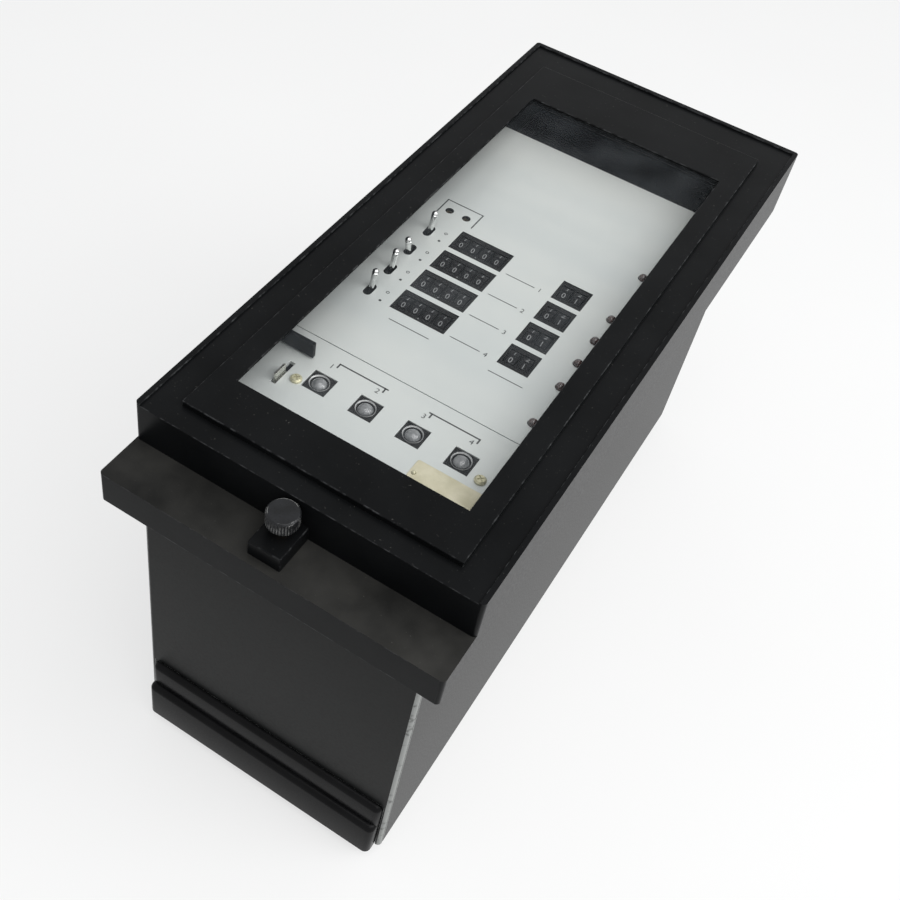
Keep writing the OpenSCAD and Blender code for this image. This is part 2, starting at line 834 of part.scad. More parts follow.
// A bent tab in its slot, on a foot that slides behind the plate.
module reset_tab() color("#cfcfc4") {
    y0 = reset_y + 1.5;
    foot_z = panel_back - seat_gap - reset_foot_t;
    block([reset_x - reset_t / 2, y0, foot_z], [reset_x + reset_t / 2, y0 + reset_len, panel_z + reset_proud]);
    block(
        [reset_x - reset_foot_w / 2, y0 - 2, foot_z],
        [reset_x + reset_foot_w / 2, y0 - 2 + reset_foot_l, foot_z + reset_foot_t]
    );
}

// Drawout unit

// An open box of sheet that carries the panel and the boards.
module chassis() color("#8d9090") {
    for (s = [-1, 1]) {
        x = s * (chassis_w / 2 - chassis_t / 2);
        nose(x, 0, chassis_t, 2 * chassis_half, chassis_z, panel_back);
        nose(0, s * (chassis_half - chassis_t / 2), chassis_w, chassis_t, chassis_z, end_wall_top);
    }
    nose(0, 0, chassis_w, 2 * chassis_half, chassis_z, chassis_z + chassis_t);
}

// The board that the wheels, switches and lamps stand on.
module front_board() color("#2f6a3c") {
    y0 = led_low_y - board_border;
    y1 = led_top_y + board_border;
    block([-front_board_w / 2, y0, board_z - board_t], [front_board_w / 2, y1, board_z]);
}

module side_board(x) {
    y = chassis_half - chassis_t - fit;
    block([x - board_t / 2, -y, chassis_z + chassis_t], [x + board_t / 2, y, board_z - board_t - board_clear]);
}

module logic_board() color("#2f6a3c") side_board(board_x);

module power_board() color("#3b6a2f") side_board(-board_x);

// A laminated core with its coil, on the chassis back.
module transformer() color("#6d675c") {
    base = chassis_z + chassis_t;
    coil_w = core_w - 2 * core_leg;
    coil_l = core_l - 2 * core_leg;
    block([-core_w / 2, -core_l / 2, base], [core_w / 2, core_l / 2, base + core_t]);
    block([-coil_w / 2, -coil_l / 2, base], [coil_w / 2, coil_l / 2, base + core_t + coil_out]);
}

// Sealed output relays on the inner face of the power board.
module output_relays() color("#2a2f33") {
    x = -board_x + board_t / 2;
    z = chassis_z + relay_z;
    for (k = [-1, 0, 1]) {
        y = k * (relay_l + relay_gap);
        block([x, y - relay_l / 2, z], [x + relay_w, y + relay_l / 2, z + relay_t]);
    }
}

module contact_blocks() color("#161616") {
    for (s = [-1, 1]) {
        y0 = s > 0 ? contact_y0 : -contact_y1;
        y1 = s > 0 ? contact_y1 : -contact_y0;
        block([-contact_w / 2, y0, contact_z], [contact_w / 2, y1, contact_z + contact_d]);
    }
}

// A grip across the front and a web that reaches back to the contact block.
module connection_plugs() color("#1c1d1e") {
    for (s = [-1, 1]) {
        y = s * (plug_y0 + plug_h / 2);
        nose(0, y, plug_w, plug_h, plug_z1 - plug_grip, plug_z1);
        nose(0, y, plug_w, plug_web, plug_z0, plug_z1 - plug_grip + eps);
    }
}

case_shell();
terminal_blocks();
terminal_screws();
cover();
window_pane();
reset_arm();
thumbscrew();
thumbscrew_clip();
upper_panel();
lower_panel();
panel_screws();
wheel_housings();
for (k = [1 : rows], d = [1 : freq_digits])
    freq_wheel(k, d);
for (k = [1 : rows], d = [1 : delay_digits])
    delay_wheel(k, d);
toggle_bodies();
for (k = [1 : rows]) toggle(k);
leds();
trimmer_bodies();
for (k = [1, 2]) trim_screw(k);
target_housings();
for (k = [1 : rows]) target(k);
reset_tab();
chassis();
front_board();
logic_board();
power_board();
transformer();
output_relays();
contact_blocks();
connection_plugs();
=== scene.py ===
# %% [markdown]
# # A protection relay in its drawout case
# The relay lies on its back, face up, as a seller would put it on a table. Its solids were
# made in OpenSCAD and packed as a frame: each one is already at its place, in metres. This
# lesson gives them finishes, rounds the edges that a moulder or a press would round, adds the
# print and the digits, and lights the result. The first cell loads the frame and keeps its box,
# because the dressed part may not grow out of it.

# %% Load the frame
import json
from math import cos, radians, sin

import bmesh
import bpy
from mathutils import Matrix, Vector

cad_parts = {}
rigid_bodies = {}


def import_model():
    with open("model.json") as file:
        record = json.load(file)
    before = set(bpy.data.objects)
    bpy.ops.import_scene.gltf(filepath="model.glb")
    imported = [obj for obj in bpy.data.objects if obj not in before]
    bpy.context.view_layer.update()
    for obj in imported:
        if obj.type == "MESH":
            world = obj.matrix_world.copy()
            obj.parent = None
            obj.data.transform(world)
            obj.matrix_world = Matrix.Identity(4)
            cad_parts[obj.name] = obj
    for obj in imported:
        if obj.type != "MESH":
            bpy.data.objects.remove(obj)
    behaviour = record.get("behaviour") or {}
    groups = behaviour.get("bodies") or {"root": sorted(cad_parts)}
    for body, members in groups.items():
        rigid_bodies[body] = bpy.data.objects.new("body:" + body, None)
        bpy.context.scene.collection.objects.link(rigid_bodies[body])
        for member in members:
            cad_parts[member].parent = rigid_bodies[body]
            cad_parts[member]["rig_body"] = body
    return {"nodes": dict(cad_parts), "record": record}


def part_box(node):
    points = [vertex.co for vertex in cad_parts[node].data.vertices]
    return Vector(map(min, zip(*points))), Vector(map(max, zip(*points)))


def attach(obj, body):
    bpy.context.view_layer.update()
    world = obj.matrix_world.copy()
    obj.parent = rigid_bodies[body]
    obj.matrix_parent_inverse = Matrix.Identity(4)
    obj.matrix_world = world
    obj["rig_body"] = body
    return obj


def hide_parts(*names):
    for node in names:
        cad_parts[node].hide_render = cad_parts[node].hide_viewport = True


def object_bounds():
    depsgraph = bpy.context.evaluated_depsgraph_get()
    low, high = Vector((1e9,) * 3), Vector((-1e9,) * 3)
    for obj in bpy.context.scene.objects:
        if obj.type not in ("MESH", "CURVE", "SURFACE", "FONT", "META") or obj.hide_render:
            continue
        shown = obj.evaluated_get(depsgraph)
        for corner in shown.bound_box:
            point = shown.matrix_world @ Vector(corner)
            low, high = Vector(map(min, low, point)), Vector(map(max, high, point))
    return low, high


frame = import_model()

MM = 0.001
nodes = frame["nodes"]
slot_of = {row["node"]: row["material_slot"] for row in frame["record"]["subparts"]}
cad_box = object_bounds()
print(len(nodes), "solids in a box of", [round(c, 4) for c in cad_box[1] - cad_box[0]], "m")

# %% [markdown]
# ## Building blocks for a finish
# A finish is a small network of nodes that ends in the Principled shader. One could paint
# images, but patterns computed from the piece's own coordinates stay sharp at any distance and
# need no unwrapping. Four helpers are enough: one that adds a node and feeds it, one for noise,
# one that stretches a value to a new range, and one that mixes two colours.

# %% Node helpers
def shade(red, green, blue):
    """A colour as seen on a screen, 0 to 255, turned to the linear colour a socket takes."""
    def linear(c):
        return c / 12.92 if c <= 0.04045 else ((c + 0.055) / 1.055) ** 2.4
    return (*(linear(c / 255) for c in (red, green, blue)), 1.0)


def add_node(tree, kind, feeds, **settings):
    """Adds a node; each feed is a value for that input, or another node's socket to link."""
    node = tree.nodes.new(kind)
    for name, value in settings.items():
        setattr(node, name, value)
    for name, value in feeds.items():
        if isinstance(value, bpy.types.NodeSocket):
            tree.links.new(value, node.inputs[name])
        else:
            node.inputs[name].default_value = value
    return node


def noise(tree, scale, stretch=(1, 1, 1), detail=5.0):
    """Cloudy noise with about that many grains to the metre along each stretched axis."""
    place = add_node(tree, "ShaderNodeTexCoord", {}).outputs["Object"]
    turned = add_node(tree, "ShaderNodeMapping", {"Vector": place, "Scale": stretch})
    feeds = {"Vector": turned.outputs["Vector"], "Scale": scale, "Detail": detail}
    return add_node(tree, "ShaderNodeTexNoise", feeds).outputs["Fac"]


def spread(tree, value, low, high, first=0.0, last=1.0):
    """The part of a value between low and high, stretched to run from first to last."""
    feeds = {"Value": value, "From Min": low, "From Max": high, "To Min": first, "To Max": last}
    return add_node(tree, "ShaderNodeMapRange", feeds).outputs["Result"]


def times(tree, first, second):
    return add_node(tree, "ShaderNodeMath", {0: first, 1: second}, operation="MULTIPLY").outputs[0]


def mix(tree, amount, first, second):
    return add_node(tree, "ShaderNodeMix", {0: amount, 6: first, 7: second}, data_type="RGBA").outputs[2]


print("node helpers ready")

# %% [markdown]
# ## One recipe for most finishes
# Paint, moulded plastic and rolled metal differ less than it seems. Each has two close shades in
# soft blotches, a fine grain that is both bump and uneven gloss, lighter edges that are partly rubbed
# and partly a painted highlight, and dust that lies on what faces up: flecks anywhere, and a film
# below a given height, where nobody wipes. One function with those knobs keeps the finishes alike in
# build, and only the numbers tell them apart. The lighter edges read the mark of wear and painted
# sheen that the modelling below puts on rounded edges.

# %% The recipe
finishes = {}


def coated(name, dark, light, blotch=60, rough=(0.4, 0.55), grain=1800, bump=0.1, depth=0.03,
           wear_and_sheen=None, rubbed_and_lit=(0.48, 0.66), dust=None, settled=(0.6, 0.7), film=None,
           stretch=(1, 1, 1), constants={}):
    """Makes the finish and files it under its slot name."""
    material = bpy.data.materials.new(name)
    material.use_nodes = True
    tree = material.node_tree
    shader = tree.nodes["Principled BSDF"]
    for socket, value in constants.items():
        shader.inputs[socket].default_value = value
    base = mix(tree, spread(tree, noise(tree, blotch, stretch), 0.35, 0.65), dark, light)
    grains = noise(tree, grain, stretch, 3.0)
    gloss = spread(tree, grains, 0.3, 0.7, *rough)
    # Lighter edges: partly wear, partly a painted highlight where light would catch the rounding.
    if wear_and_sheen:
        mark = add_node(tree, "ShaderNodeAttribute", {}, attribute_name="wear_and_sheen").outputs["Fac"]
        patches = spread(tree, noise(tree, 260), *rubbed_and_lit)
        base = mix(tree, times(tree, mark, patches), base, wear_and_sheen)
    if dust:
        place = add_node(tree, "ShaderNodeTexCoord", {})
        facing = add_node(tree, "ShaderNodeSeparateXYZ", {0: place.outputs["Normal"]}).outputs["Z"]
        up = spread(tree, facing, 0.8, 0.95)
        flecks = spread(tree, noise(tree, 900, detail=2.0), *settled)
        base = mix(tree, times(tree, up, flecks), base, dust)
        if film:
            height = add_node(tree, "ShaderNodeSeparateXYZ", {0: place.outputs["Object"]}).outputs["Z"]
            low = spread(tree, height, film - MM, film, 1.0, 0.0)
            haze = spread(tree, noise(tree, 24), 0.3, 0.7, 0.1, 0.7)
            base = mix(tree, times(tree, times(tree, up, low), haze), base, dust)
    tree.links.new(base, shader.inputs["Base Color"])
    tree.links.new(gloss, shader.inputs["Roughness"])
    relief = add_node(tree, "ShaderNodeBump", {"Strength": bump, "Distance": depth * MM, "Height": grains})
    tree.links.new(relief.outputs["Normal"], shader.inputs["Normal"])
    finishes[name] = material
    return material


print("recipe ready")

# %% [markdown]
# ## The dark finishes
# Nearly the whole relay is black, yet no two blacks are the same: the cover is a satin moulding
# with dust on its ledge, the case is black enamel, the terminal blocks are a glossy thermoset,
# and the small housings are dull. The shades are kept apart by a few steps and by their gloss.

# %% Black mouldings and enamel
DULL = {"Specular IOR Level": 0.07}
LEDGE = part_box("cover")[0].z + 18.5 * MM    # just above the ledge
coated("cover_black", shade(14, 15, 16), shade(20, 21, 22), blotch=30, rough=(0.28, 0.36), grain=900,
       bump=0.05, wear_and_sheen=shade(58, 59, 60), dust=shade(74, 73, 70), settled=(0.7, 0.82), film=LEDGE,
       constants={"Specular IOR Level": 0.05})
coated("case_paint", shade(12, 13, 13), shade(17, 18, 18), blotch=12, rough=(0.3, 0.38), grain=900,
       bump=0.05, wear_and_sheen=shade(150, 152, 150), rubbed_and_lit=(0.2, 0.45), constants=DULL)
coated("block_black", shade(13, 13, 14), shade(19, 19, 20), rough=(0.2, 0.28), grain=900, bump=0.04,
       wear_and_sheen=shade(40, 40, 42), constants=DULL)
coated("housing_black", shade(27, 27, 27), shade(35, 35, 35), blotch=300, rough=(0.5, 0.62), grain=2600,
       wear_and_sheen=shade(60, 60, 60), constants=DULL)
coated("wheel_black", shade(26, 26, 27), shade(33, 33, 34), blotch=300, rough=(0.42, 0.55), grain=2600,
       constants=DULL)
coated("relay_case", shade(34, 38, 42), shade(46, 50, 55), rough=(0.3, 0.42))
coated("target_dark", shade(100, 102, 103), shade(124, 126, 127), blotch=400, rough=(0.16, 0.26), bump=0.04,
       constants={"Coat Weight": 0.8, "Coat Roughness": 0.12})
print(len(finishes), "dark finishes")

# %% [markdown]
# ## The metals and the panel
# The panel is anodised aluminium with a brushed grain, so its noise is stretched along the rows.
# A fully metallic shader mirrors its surroundings, and a satin panel shows its own colour more
# than that, so it is only partly metallic. The levers are chrome, the screws are yellow zinc, and
# the knob's neck is brass.

# %% Panel, screws and levers
coated("panel_silver", shade(196, 201, 199), shade(208, 211, 207), blotch=14, rough=(0.36, 0.46),
       grain=2400, bump=0.03, stretch=(0.08, 1, 1), constants={"Metallic": 0.15})
coated("screw_steel", shade(178, 174, 142), shade(202, 198, 168), blotch=700, rough=(0.34, 0.46),
       constants={"Metallic": 0.35})
coated("thumbscrew_metal", shade(30, 31, 32), shade(37, 38, 40), blotch=200, rough=(0.26, 0.34), grain=1200,
       bump=0.03, wear_and_sheen=shade(150, 150, 148), constants={"Metallic": 0.25, "Specular IOR Level": 0.2})
coated("knob_neck", shade(150, 122, 74), shade(182, 154, 104), blotch=500, rough=(0.28, 0.4),
       constants={"Metallic": 0.9})
coated("lever_chrome", shade(196, 197, 196), shade(222, 223, 222), blotch=500, rough=(0.1, 0.2), bump=0.03,
       constants={"Metallic": 1.0})
coated("tab_steel", shade(186, 186, 178), shade(212, 212, 204), blotch=300, rough=(0.22, 0.34),
       stretch=(1, 0.2, 1), constants={"Metallic": 0.9})
coated("trim_brass", shade(52, 44, 30), shade(70, 60, 42), blotch=600, rough=(0.4, 0.55),
       constants={"Metallic": 0.4})
coated("ring_bright", shade(176, 177, 177), shade(204, 205, 204), blotch=500, rough=(0.2, 0.3), bump=0.03,
       constants={"Metallic": 0.2})
coated("chassis_metal", shade(134, 138, 138), shade(158, 161, 160), blotch=30, rough=(0.34, 0.46),
       stretch=(1, 0.1, 1), constants={"Metallic": 0.8})
coated("core_iron", shade(92, 86, 76), shade(116, 109, 97), blotch=40, rough=(0.5, 0.64), grain=900,
       stretch=(1, 1, 12), constants={"Metallic": 0.4})
print(len(finishes), "finishes so far")

# %% [markdown]
# ## The coloured and the clear finishes
# Lamps, trimmers, boards and print are small fields of colour. The pane is special: real glass in
# a path tracer stops the light that should reach the panel, so the pane is a nearly clear shader
# whose alpha carries the smudges. It still gets a gloss of its own.

# %% Lamps, boards, print and pane
coated("lamp_red", shade(52, 38, 35), shade(72, 47, 41), blotch=500, rough=(0.12, 0.2), bump=0.03,
       constants={"Coat Weight": 0.5})
coated("trimmer_blue", shade(36, 74, 116), shade(52, 92, 136), blotch=400, rough=(0.36, 0.5))
coated("board_green", shade(38, 88, 50), shade(66, 120, 70), blotch=220, rough=(0.3, 0.4),
       stretch=(1, 0.3, 1))
coated("print_ink", shade(40, 41, 42), shade(58, 59, 60), blotch=900, rough=(0.45, 0.6))
coated("digit_ink", shade(116, 117, 118), shade(142, 143, 143), blotch=1500, rough=(0.45, 0.6))
coated("tag_foil", shade(196, 190, 160), shade(214, 208, 182), blotch=120, rough=(0.34, 0.5), bump=0.05,
       wear_and_sheen=shade(120, 112, 88), constants={"Metallic": 0.2})
pane = coated("pane_clear", shade(150, 158, 164), shade(176, 183, 188), blotch=20, rough=(0.04, 0.1),
              bump=0.0)
smudges = spread(pane.node_tree, noise(pane.node_tree, 45), 0.4, 0.75, 0.02, 0.05)
pane.node_tree.links.new(smudges, pane.node_tree.nodes["Principled BSDF"].inputs["Alpha"])
print(sorted(finishes))

# %% [markdown]
# ## Dressing a solid
# A CAD edge is perfectly sharp and catches no light, and a moulded or pressed edge always has a
# small radius. A Bevel modifier could do it, but a bevel made in the mesh can also mark its new
# faces, so that the finish can paint them lighter, partly as wear and partly as a painted highlight.
# The solid's loose triangles are first joined and flat areas dissolved, so that the bevel follows
# real edges only. On a rounded piece the large faces are shaded flat and only the small faces of the
# rounding are smooth, so no light bends across a plate.
# The shading that came with the triangles no longer fits the new faces, and it is thrown away.

# %% The dressing helpers
PLATE_RATIO = 8    # a face this many times larger than a smoothly joined neighbour is a flat plate


def piece_from(bm, name, finish, body, sharp=35, crisp=False):
    """Turns a finished bmesh into a piece that rides on a body."""
    mesh = bpy.data.meshes.new(name)
    smooth = []
    for face in bm.faces:
        joined = [other.calc_area() for edge in face.edges if edge.calc_face_angle(0) < radians(sharp)
                  for other in edge.link_faces if other != face]
        smooth.append(not crisp or (bool(joined) and face.calc_area() < PLATE_RATIO * min(joined)))
    bm.to_mesh(mesh)
    bm.free()
    if "custom_normal" in mesh.attributes:
        mesh.attributes.remove(mesh.attributes["custom_normal"])
    mesh.materials.append(finishes[finish])
    mesh.set_sharp_from_angle(angle=radians(sharp))
    mesh.polygons.foreach_set("use_smooth", smooth)
    piece = bpy.data.objects.new(name, mesh)
    bpy.context.scene.collection.objects.link(piece)
    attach(piece, body)
    return piece


def joined_copy(node):
    """A bmesh of a solid with its loose triangles joined and its flat areas made whole."""
    bm = bmesh.new()
    bm.from_mesh(nodes[node].data)
    bmesh.ops.remove_doubles(bm, verts=bm.verts, dist=0.002 * MM)
    bmesh.ops.dissolve_limit(bm, angle_limit=radians(0.5), verts=bm.verts, edges=bm.edges)
    return bm


def dressed(node, edge=0.0, segments=3, sharp=35, shortest=0.0):
    """A copy of a solid with rounded edges, marked for wear and a painted highlight, that stands for it."""
    bm = joined_copy(node)
    wear_and_sheen = bm.faces.layers.float.new("wear_and_sheen")
    if edge:
        corners = [e for e in bm.edges if e.is_manifold and e.calc_face_angle() > radians(sharp)]
        if shortest:    # leaves out the short edges in tight places, where roundings would cross
            corners = [e for e in corners if e.is_convex and e.calc_length() > shortest * MM]
        rounded = bmesh.ops.bevel(bm, geom=corners, offset=edge * MM, offset_type="OFFSET", affect="EDGES",
                                  segments=segments, profile=0.5, material=-1, clamp_overlap=False)
        for face in rounded["faces"]:
            face[wear_and_sheen] = 1.0
        low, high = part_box(node)
        for vert in bm.verts:
            vert.co = [min(max(c, a), b) for c, a, b in zip(vert.co, low, high)]
    piece = piece_from(bm, f"{node}_finished", slot_of[node], nodes[node]["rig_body"], sharp, edge > 0)
    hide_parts(node)
    return piece


print("dressing helpers ready")

# %% [markdown]
# ## Case, cover and terminal blocks
# These are the big forms, and their edges draw the picture: the cover's steps show as thin bright
# lines in the photograph because each edge is slightly round, and the rounding carries a lighter
# mark, partly wear and partly a painted highlight. Every piece gets the radius that its making gives
# it: about half a millimetre on the moulded cover, less on bent sheet. The case's corners are already
# round, so they only get that lighter mark: a painted highlight, strongest on the corner at the right.

# %% Dress the big forms
for node, edge in {"cover": 0.45, "case_shell": 0.3, "terminal_blocks": 0.0, "connection_plugs": 0.6,
                   "reset_arm": 0.25}.items():
    piece = dressed(node, edge, shortest=3)
    print(piece.name, len(piece.data.polygons), "faces")

# %% Paint a highlight on the case's round corners
case = bpy.data.objects["case_shell_finished"].data
CASE_X, CASE_Y, NEAR = 72.2 * MM, 185 * MM, 2.6 * MM
for face, mark in zip(case.polygons, case.attributes["wear_and_sheen"].data):
    x, y = face.center.x, face.center.y
    beside = abs(abs(x) - CASE_X) < NEAR and abs(abs(y) - CASE_Y) < NEAR
    if beside and min(abs(face.normal.x), abs(face.normal.y)) > 0.2:
        # Painted highlight: full on the right front corner, where the light falls, weaker on the other
        # corners.
        mark.value = 1.0 if x > 0 > y else 0.3
print("rubbed_and_lit", sum(mark.value > 0 for mark in case.attributes["wear_and_sheen"].data), "faces of the case")

# %% [markdown]
# ## The thumbscrew
# One turned piece, but two metals to the eye: the knurled head is plated grey, and the neck under
# it shows brass. Splitting the mesh would break the piece, so the faces below the head get a second
# material slot instead.

# %% Dress the thumbscrew
thumbscrew = dressed("thumbscrew", 0.15, 2, 40)
thumbscrew.data.materials.append(finishes["knob_neck"])
head_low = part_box("thumbscrew")[1].z - 7.4 * MM
for face in thumbscrew.data.polygons:
    if face.center.z < head_low:
        face.material_index = 1
print("thumbscrew", len(thumbscrew.data.polygons), "faces")

# %% [markdown]
# ## Panel plates, housings and small metal
# The panel plates are sheared sheet, so only a hair of radius. The housings are small mouldings.
# Levers, balls and screws are turned, and what they need is smooth shading on their round faces.
# The walls of the holes in the panel look black in the photograph, where they lie in shade, and that
# shade is painted on: they get the housings' black as a second material.

# %% Dress the panel and its small parts
small = {"upper_panel": 0.12, "lower_panel": 0.12, "wheel_housings": 0.15, "target_housings": 0.15,
         "panel_screws": 0.0, "reset_tab": 0.15, "leds": 0.0, "trim_screw_1": 0.0, "trim_screw_2": 0.0}
small.update({f"toggle_{k}": 0.0 for k in range(1, 5)})
small.update({f"target_{k}": 0.0 for k in range(1, 5)})
small.update({node: 0.08 for node in nodes if "_wheel_" in node})
for node, edge in small.items():
    dressed(node, edge, 2, 40)
print(len(small), "small pieces dressed")

# %% Paint shade on the panel's cut edges
# Painted shade: the walls of the holes take the housings' black.
plate = bpy.data.objects["upper_panel_finished"].data
plate.materials.append(finishes["housing_black"])
low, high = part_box("upper_panel")
for face in plate.polygons:
    inside = low.x + MM < face.center.x < high.x - MM and low.y + MM < face.center.y < high.y - MM
    if inside and abs(face.normal.z) < 0.5:
        face.material_index = 1
print("dark cut edges", sum(face.material_index for face in plate.polygons))

# %% [markdown]
# ## Digits on the thumbwheels
# Each wheel carries the ten digits round its rim, and the one that is read sits a little below the
# top. A digit starts as a text object from the built-in font and is made a mesh at once. To lie on
# the rim it must bend, so it is cut into bands across its height, and each point is then wound
# round the axle. All wheels read 0, apart from the last one of each delay bank, which reads 1.

# %% Digit meshes
RIM = 8.0 * MM
READ_TILT, DIGIT_STEP = -20, 36


def digit_bmesh(digit, height, thick):
    """A digit about its own middle, as a thin closed solid in the XY plane."""
    words = bpy.data.curves.new("digit", "FONT")
    words.body = str(digit)
    words.size = height / 0.7
    words.extrude = thick / 2
    words.resolution_u = 3
    words.align_x, words.align_y = "CENTER", "CENTER"
    text = bpy.data.objects.new("digit", words)
    bpy.context.scene.collection.objects.link(text)
    bm = bmesh.new()
    bm.from_mesh(text.evaluated_get(bpy.context.evaluated_depsgraph_get()).to_mesh())
    bpy.data.objects.remove(text)
    bpy.data.curves.remove(words)
    bmesh.ops.remove_doubles(bm, verts=bm.verts, dist=0.0001 * MM)
    high, low = (pick(v.co.y for v in bm.verts) for pick in (max, min))
    bmesh.ops.translate(bm, verts=bm.verts, vec=(0, -(high + low) / 2, 0))
    return bm


flat_digits = {d: digit_bmesh(d, 3.0 * MM, 0.06 * MM) for d in range(10)}
print("digits", [len(bm.faces) for bm in flat_digits.values()])

# %% Wind the digits round each wheel
def wind(bm, axle, degrees):
    """Bends a flat digit round an axle along X, with its middle at that angle from straight up."""
    for band in range(-2, 3):
        bmesh.ops.bisect_plane(bm, geom=bm.verts[:] + bm.edges[:] + bm.faces[:], dist=1e-7,
                               plane_co=(0, band * 0.5 * MM, 0), plane_no=(0, 1, 0))
    for vert in bm.verts:
        turn, reach = radians(degrees) + vert.co.y / RIM, RIM + vert.co.z
        vert.co = axle + Vector((vert.co.x, reach * sin(turn), reach * cos(turn)))


for node in [n for n in nodes if "_wheel_" in n]:
    low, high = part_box(node)
    axle = (low + high) / 2
    axle.z = high.z - RIM
    shown = 1 if node.startswith("delay") and node.endswith("_2") else 0
    ring = bmesh.new()
    for step in range(10):
        digit = flat_digits[(shown + step) % 10].copy()
        wind(digit, axle, READ_TILT + DIGIT_STEP * step)
        scratch = bpy.data.meshes.new("scratch")
        digit.to_mesh(scratch)
        digit.free()
        ring.from_mesh(scratch)
        bpy.data.meshes.remove(scratch)
    piece_from(ring, f"{node}_digits", "digit_ink", nodes[node]["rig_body"])
print("digits on", len([n for n in nodes if "_wheel_" in n]), "wheels")

# %% [markdown]
# ## Print on the panel
# The panel's print is ink a few hundredths of a millimetre thick. Here it is kept to plain shapes:
# the bracket round the adjusters, a ring and a dot at each switch, a line from each frequency bank
# to its row number, and the comb with the numbers of the targets. Every stroke is a thin closed
# block, sunk a hair into the plate so that it never flickers.

# %% Strokes, rings and numbers
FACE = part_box("upper_panel")[1].z / MM
INK = 0.06


def stroke(bm, start, end, width):
    """A straight line of ink between two points on the panel, in millimetres."""
    start, end = Vector((*start, FACE)), Vector((*end, FACE))
    along = end - start
    size = Matrix.Diagonal((along.length + width, width, INK, 1))
    turn = Matrix.Rotation(Vector((1, 0)).angle_signed(along.xy, 0) * -1, 4, "Z")
    place = Matrix.Scale(MM, 4) @ Matrix.Translation((start + end) / 2) @ turn @ size
    bmesh.ops.create_cube(bm, size=1, matrix=place)


def ink_ring(bm, centre, inner, outer):
    """A ring of ink: a small rectangle spun once round its own middle."""
    corners = [(inner, -INK / 2), (outer, -INK / 2), (outer, INK / 2), (inner, INK / 2)]
    loop = [bm.verts.new(Vector((centre[0] + r, centre[1], FACE + z)) * MM) for r, z in corners]
    rim = [bm.edges.new((loop[k], loop[k - 1])) for k in range(4)]
    bmesh.ops.spin(bm, geom=loop + rim, cent=Vector((*centre, FACE)) * MM, axis=(0, 0, 1),
                   angle=radians(360), steps=20, use_merge=True, use_duplicate=False)


def ink_digit(bm, digit, centre):
    """One of the wheels' digits, laid flat on the panel."""
    copy = flat_digits[digit].copy()
    bmesh.ops.translate(copy, verts=copy.verts, vec=Vector((*centre, FACE)) * MM)
    scratch = bpy.data.meshes.new("scratch")
    copy.to_mesh(scratch)
    copy.free()
    bm.from_mesh(scratch)
    bpy.data.meshes.remove(scratch)


print("print tools ready, panel face at", round(FACE, 2), "mm")

# %% Print the panel
SWITCH_X, ROW_Y, ROW_PITCH, CONTROL_DROP = -54.6, 26.5, 19.1, 3.5
TARGET_X, TARGET_PITCH, TARGET_Y = -38.55, 24.9, -101.7
ink = bmesh.new()
bracket = [(-59.7, 37.5), (-59.7, 52.4), (-38.3, 52.4), (-38.3, 39.5)]
for start, end in zip(bracket, bracket[1:]):
    stroke(ink, start, end, 0.7)
for row in range(4):
    y = ROW_Y - row * ROW_PITCH
    ink_ring(ink, (SWITCH_X + 8.2, y - CONTROL_DROP + 3.6), 0.55, 0.95)
    ink_ring(ink, (SWITCH_X + 8.2, y - CONTROL_DROP - 3.6), 0.02, 0.75)
    stroke(ink, (-6.5, y - 7), (9.5, y - 7), 0.5)
    ink_digit(ink, row + 1, (12.8, y - 7))
comb_y = -86.0
stroke(ink, (-37.6, comb_y), (-11.6, comb_y), 0.8)
stroke(ink, (10.8, comb_y), (36.8, comb_y), 0.8)
for k in range(4):
    x = -37.6 + k * 74.4 / 3
    stroke(ink, (x, comb_y), (x, comb_y - 2.6), 0.8)
    ink_digit(ink, k + 1, (x - 2.4, comb_y - 3.4))
stroke(ink, (-36, -46), (-14, -46), 0.5)
stroke(ink, (19, -46), (37, -46), 0.5)
bmesh.ops.recalc_face_normals(ink, faces=ink.faces)
panel_print = piece_from(ink, "panel_print", "print_ink", "case")
print("print", len(panel_print.data.polygons), "faces")

# %% [markdown]
# ## Decimal points
# Each frequency bank has a small white point between its second and third wheel, low on the
# housing. A cone with a narrow top makes a drop of paint.

# %% Decimal points
points = bmesh.new()
for row in range(4):
    place = Vector((-25.2, ROW_Y - row * ROW_PITCH - 6.0, FACE - 0.3)) * MM
    bmesh.ops.create_cone(points, cap_ends=True, segments=14, radius1=0.42 * MM, radius2=0.3 * MM,
                          depth=0.12 * MM, matrix=Matrix.Translation(place))
decimal_points = piece_from(points, "decimal_points", "digit_ink", "case")
print("decimal points", len(decimal_points.data.polygons), "faces")

# %% [markdown]
# ## Target collars
# A thin bright collar holds each target. In the photograph only its far side shines, so it is a
# cone that opens upwards: the side that faces the window is bright and the near side is dark. A
# small triangle, spun once round, gives it.

# %% Spin the target collars
COLLAR = ((4.3, -0.5), (4.9, 0.35), (4.9, -0.5))
rings = bmesh.new()
for k in range(4):
    middle = Vector((TARGET_X + k * TARGET_PITCH, TARGET_Y, FACE))
    section = [rings.verts.new((middle + Vector((r, 0, z))) * MM) for r, z in COLLAR]
    rim = [rings.edges.new((section[j], section[j - 1])) for j in range(3)]
    bmesh.ops.spin(rings, geom=section + rim, cent=middle * MM, axis=(0, 0, 1), angle=radians(360),
                   steps=48, use_merge=True, use_duplicate=False)
bmesh.ops.recalc_face_normals(rings, faces=rings.faces)
target_rings = piece_from(rings, "target_rings", "ring_bright", "case")
print("target collars", len(target_rings.data.polygons), "faces")

# %% [markdown]
# ## The blank tag
# A yellowed foil tag is riveted below the targets. It stays blank. A cube flattened to a plate with
# rounded corners and a rubbed edge is enough, and the rivet is the cap of a sphere, cut by a plane.

